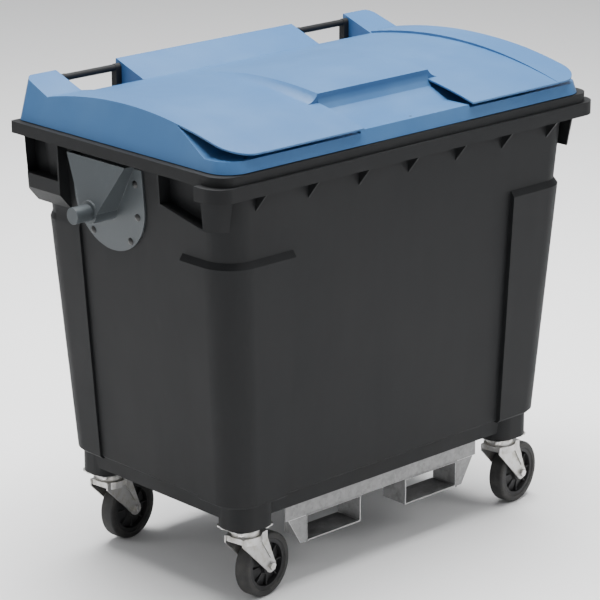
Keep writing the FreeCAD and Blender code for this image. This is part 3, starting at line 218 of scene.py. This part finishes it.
BODY = moulded("body_plastic", (0.0055, 0.0060, 0.0068, 1.0), (0.012, 0.013, 0.014, 1.0), 0.60, 0.00022)
# Lighter copy of the body plastic for the bevelled edges: a painted edge highlight.
BODY_EDGE_HIGHLIGHT = moulded("body_plastic_edge_highlight", (0.010, 0.011, 0.012, 1.0), (0.020, 0.022, 0.024, 1.0),
                    0.54, 0.00016, 0.3)
LID = moulded("lid_plastic", (0.040, 0.118, 0.265, 1.0), (0.062, 0.150, 0.300, 1.0), 0.36, 0.00016)
# Lighter copy of the lid plastic for the bevelled edges: a painted edge highlight.
LID_EDGE_HIGHLIGHT = moulded("lid_plastic_edge_highlight", (0.050, 0.135, 0.285, 1.0), (0.080, 0.175, 0.325, 1.0),
                   0.34, 0.00012, 0.2)
NYLON = moulded("black_nylon", (0.016, 0.016, 0.018, 1.0), (0.032, 0.032, 0.034, 1.0), 0.40, 0.00014)
RUBBER = rubber("rubber_black", grey(0.018), grey(0.05, 1.05))
TYRE = rubber("tyre_rubber", grey(0.020), (0.085, 0.080, 0.073, 1.0))
WHEEL = moulded("wheel_centre", (0.014, 0.014, 0.015, 1.0), (0.035, 0.035, 0.036, 1.0), 0.44, 0.00018)
BRACKET = coated("bracket_paint", (0.052, 0.061, 0.067, 1.0), (0.085, 0.094, 0.100, 1.0), 0.46, 0.00030)
# Lighter copy of the bracket paint for the bevelled edges: a painted edge highlight.
BRACKET_EDGE_HIGHLIGHT = coated("bracket_paint_edge_highlight", (0.16, 0.17, 0.175, 1.0), (0.28, 0.29, 0.29, 1.0), 0.38, 0.0002)
SCREW = coated("dark_screw", grey(0.018), grey(0.06), 0.36, 0.0001)
GALVANISED = galvanised("galvanised_steel", grey(0.17), grey(0.30), 0.40)
# Much brighter copy of the galvanised steel for the bevelled edges of the fork steel: a painted edge
# highlight, not the colour of a cut edge.
GALVANISED_EDGE_HIGHLIGHT = galvanised("galvanised_edge_highlight", grey(0.62), grey(0.82), 0.26)
ZINC = plated("zinc_steel", grey(0.50, 1.01), (0.36, 0.33, 0.26, 1.0), 0.30, (1.0, 1.0, 0.15))
FASTENER = plated("zinc_fastener", grey(0.66, 1.01), (0.50, 0.47, 0.38, 1.0), 0.22, (0.2, 1.0, 1.0))

SLOTS = {"body_plastic": BODY, "lid_plastic": LID, "black_nylon": NYLON, "rubber_black": RUBBER,
         "tyre_rubber": TYRE, "wheel_centre": WHEEL, "bracket_paint": BRACKET, "dark_screw": SCREW,
         "galvanised_steel": GALVANISED, "zinc_steel": ZINC, "zinc_fastener": FASTENER}
SLOT_OF = {part["node"]: part["material_slot"] for part in frame["record"]["subparts"]}
BODY_OF = {}
for body_name, members in frame["record"]["behaviour"]["bodies"].items():
    for member in members:
        BODY_OF[member] = body_name


def dress(obj, *materials):
    obj.data.materials.clear()
    for material in materials:
        obj.data.materials.append(material)


for node_name, node_object in NODES.items():
    dress(node_object, SLOTS[SLOT_OF[node_name]])


# ---------------------------------------------------------------- pieces

def piece(name, shape, body, slot_name, *materials):
    """Finishes a bmesh as an object that rides on a body."""
    mesh = bpy.data.meshes.new(name)
    shape.to_mesh(mesh)
    shape.free()
    obj = bpy.data.objects.new(name, mesh)
    bpy.context.scene.collection.objects.link(obj)
    dress(obj, *(materials or (SLOTS[slot_name],)))
    mesh.shade_smooth()
    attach(obj, body)
    return obj


WELD_DISTANCE = 1e-5
FLAT_ANGLE = math.radians(0.4)
SHARP_ANGLE = math.radians(28.0)


def softened(node, width, segments=3, edge_highlight=None):
    """Copy of a CAD node with its sharp edges rounded, standing for the node, its rounds given a lighter
    copy of its material as a painted edge highlight when one is passed.
    """
    shape = bmesh.new()
    shape.from_mesh(NODES[node].data)
    bmesh.ops.remove_doubles(shape, verts=shape.verts, dist=WELD_DISTANCE)
    bmesh.ops.dissolve_limit(shape, angle_limit=FLAT_ANGLE, verts=shape.verts, edges=shape.edges)
    main = SLOTS[SLOT_OF[node]]
    obj = piece(node + "_visual", shape, BODY_OF[node], SLOT_OF[node], main, edge_highlight or main)
    bevel = obj.modifiers.new("rounding", "BEVEL")
    bevel.width = width
    bevel.segments = segments
    bevel.limit_method = "ANGLE"
    bevel.angle_limit = SHARP_ANGLE
    bevel.miter_outer = "MITER_SHARP"
    # The rounds take the second slot, the lighter edge copy: a painted edge highlight.
    bevel.material = 1 if edge_highlight else -1
    normals = obj.modifiers.new("flat_faces", "WEIGHTED_NORMAL")
    normals.keep_sharp = True
    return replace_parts(obj, node)


softened("tub", 0.0016, 2, BODY_EDGE_HIGHLIGHT)
softened("lid", 0.0014, 2, LID_EDGE_HIGHLIGHT)
softened("trunnion_screws", 0.0005, 2)
for side in ("left", "right"):
    softened("rear_handle_" + side, 0.0012)
    softened("trunnion_bracket_" + side, 0.0010, 2, BRACKET_EDGE_HIGHLIGHT)
    softened("trunnion_pin_" + side, 0.0015)
    for end in ("front", "rear"):
        softened(f"fork_pocket_{end}_{side}", 0.0007, 2, GALVANISED_EDGE_HIGHLIGHT)
for end in ("front", "rear"):
    softened("fork_frame_" + end, 0.0008, 2, GALVANISED_EDGE_HIGHLIGHT)
softened("fork_pocket_gussets", 0.0008, 2, GALVANISED_EDGE_HIGHLIGHT)
softened("fork_frame_bolts", 0.0006, 2)
softened("castor_bolts", 0.0006, 2)


# ---------------------------------------------------------------- wheel ribs, weld beads and end box backs

RIB_COUNT = 8
RIB_INNER = 0.021
RIB_OUTER = 0.0545
RIB_WIDTH = 0.0035
RIB_LOW = 0.004
RIB_HIGH = 0.014
BEAD_PITCH = 0.0042
BEAD_RADIUS = 0.0026
BEAD_PROUD = 0.45

JOINTS = {joint["name"]: joint for joint in frame["record"]["behaviour"]["joints"]}


def wheel_ribs(corner):
    """Radial ribs on both faces of a wheel centre, between its hub and its rim."""
    joint = JOINTS["roll_" + corner]
    axis = Vector(joint["axis"]).normalized()
    turn = Vector((0.0, 1.0, 0.0)).rotation_difference(axis).to_matrix().to_4x4()
    place = Matrix.Translation(Vector(joint["pos_m"])) @ turn
    size = Matrix.Diagonal((RIB_OUTER - RIB_INNER, RIB_HIGH - RIB_LOW, RIB_WIDTH, 1.0))
    shape = bmesh.new()
    for index in range(RIB_COUNT):
        spin = Matrix.Rotation(2.0 * math.pi * index / RIB_COUNT, 4, "Y")
        for sign in (-1.0, 1.0):
            middle = Vector(((RIB_OUTER + RIB_INNER) / 2.0, sign * (RIB_HIGH + RIB_LOW) / 2.0, 0.0))
            bmesh.ops.create_cube(shape, size=1.0, matrix=place @ spin @ Matrix.Translation(middle) @ size)
    bmesh.ops.bevel(shape, geom=list(shape.edges), affect="EDGES", offset=0.0008, segments=2, profile=0.5,
                    material=-1)
    piece(f"castor_{corner}_ribs", shape, "wheel_" + corner, "wheel_centre")


def reach(node):
    """Lowest and highest corner of a node's box."""
    corners = [vertex.co for vertex in NODES[node].data.vertices]
    low = Vector([min(corner[i] for corner in corners) for i in range(3)])
    high = Vector([max(corner[i] for corner in corners) for i in range(3)])
    return low, high


def weld_row(shape, start, end, random):
    """Overlapping beads from start to end, each a little different."""
    length = (end - start).length
    count = int(length / BEAD_PITCH)
    for index in range(count + 1):
        place = start.lerp(end, index / count)
        size = BEAD_RADIUS * (0.85 + 0.3 * random.random())
        flat = Matrix.Diagonal((1.0, BEAD_PROUD, 1.0, 1.0))
        bmesh.ops.create_uvsphere(shape, u_segments=12, v_segments=7, radius=size,
                                  matrix=Matrix.Translation(place) @ flat)


def pocket_welds(end, side, sign_x, sign_y):
    """Beads that hold a fork pocket to its angle frame and to its gusset."""
    low, high = reach(f"fork_pocket_{end}_{side}")
    seam_z = reach("fork_frame_" + end)[0].z
    face_y = (high if sign_y > 0 else low).y
    gusset_x = (high if sign_x > 0 else low).x
    shape = bmesh.new()
    random = Random(f"{end} {side}")
    weld_row(shape, Vector((low.x, face_y, seam_z)), Vector((high.x, face_y, seam_z)), random)
    weld_row(shape, Vector((gusset_x, face_y, low.z)), Vector((gusset_x, face_y, seam_z)), random)
    piece(f"weld_{end}_{side}", shape, "tub", "galvanised_steel")


BACK_DEPTH = 0.004
BACK_X = 0.568
BACK_Y = (0.216, 0.342)
BACK_Z = (0.964, 1.084)


def end_box_back(side, sign_x):
    """Panel that closes the back of the rear end box, where the tub wall curves away behind it."""
    middle = Vector((sign_x * BACK_X, sum(BACK_Y) / 2.0, sum(BACK_Z) / 2.0))
    size = Matrix.Diagonal((BACK_DEPTH, BACK_Y[1] - BACK_Y[0], BACK_Z[1] - BACK_Z[0], 1.0))
    shape = bmesh.new()
    bmesh.ops.create_cube(shape, size=1.0, matrix=Matrix.Translation(middle) @ size)
    piece("end_box_back_" + side, shape, "tub", "body_plastic")


end_box_back("left", -1.0)
end_box_back("right", 1.0)
for corner_name in ("fl", "fr", "rl", "rr"):
    wheel_ribs(corner_name)
for end_name, way_y in (("front", -1.0), ("rear", 1.0)):
    for side_name, way_x in (("left", -1.0), ("right", 1.0)):
        pocket_welds(end_name, side_name, way_x, way_y)


# ---------------------------------------------------------------- stage

CAMERA_AZIMUTH = math.radians(-43.397)
CAMERA_HEIGHT = math.radians(17.715)
CAMERA_BACK = 6.8851
CAMERA_RIGHT = -0.02038
CAMERA_UP = 0.56744
CAMERA_LENS = 162.93
CAMERA_SENSOR = 36.0
CAMERA_REACH = 100.0
FLOOR_HALF = 30.0


def stage():
    back = Vector((math.sin(CAMERA_AZIMUTH) * math.cos(CAMERA_HEIGHT),
                   -math.cos(CAMERA_AZIMUTH) * math.cos(CAMERA_HEIGHT), math.sin(CAMERA_HEIGHT)))
    right = Vector((math.cos(CAMERA_AZIMUTH), math.sin(CAMERA_AZIMUTH), 0.0))
    up = back.cross(right)
    data = bpy.data.cameras.new("camera")
    data.lens = CAMERA_LENS
    data.sensor_width = CAMERA_SENSOR
    data.clip_end = CAMERA_REACH
    camera = bpy.data.objects.new("camera", data)
    turn = Matrix((right, up, back)).transposed().to_4x4()
    place = back * CAMERA_BACK + right * CAMERA_RIGHT + up * CAMERA_UP
    camera.matrix_world = Matrix.Translation(place) @ turn
    bpy.context.scene.collection.objects.link(camera)
    bpy.context.scene.camera = camera

    ground = bmesh.new()
    bmesh.ops.create_grid(ground, x_segments=2, y_segments=2, size=FLOOR_HALF)
    mesh = bpy.data.meshes.new("floor")
    ground.to_mesh(mesh)
    ground.free()
    floor = bpy.data.objects.new("floor", mesh)
    bpy.context.scene.collection.objects.link(floor)
    g = Graph("floor_pale")
    speck = g.noise(40.0, 3.0)
    dress(floor, g.finish(Base_Color=g.mix(speck * 0.5, grey(0.92), grey(0.90)), Roughness=0.85))

    world = bpy.data.worlds.new("studio")
    world.use_nodes = True
    world.node_tree.nodes["Background"].inputs["Color"].default_value = (0.97, 0.98, 1.0, 1.0)
    world.node_tree.nodes["Background"].inputs["Strength"].default_value = 0.50
    bpy.context.scene.world = world

    lamp("top", (0.3, 0.3, 5.2), (0.0, 0.0, 1.0), 4.6, 820.0)
    lamp("key", (2.4, -4.2, 3.6), (0.0, 0.0, 0.6), 2.2, 60.0)
    lamp("rim", (-4.4, 2.8, 2.6), (-0.3, 0.0, 0.8), 1.8, 30.0)


def lamp(name, place, target, size, power):
    data = bpy.data.lights.new(name, "AREA")
    data.shape = "DISK"
    data.size = size
    data.energy = power
    light = bpy.data.objects.new(name, data)
    light.location = place
    light.rotation_mode = "QUATERNION"
    light.rotation_quaternion = (Vector(target) - Vector(place)).to_track_quat("-Z", "Y")
    bpy.context.scene.collection.objects.link(light)


stage()
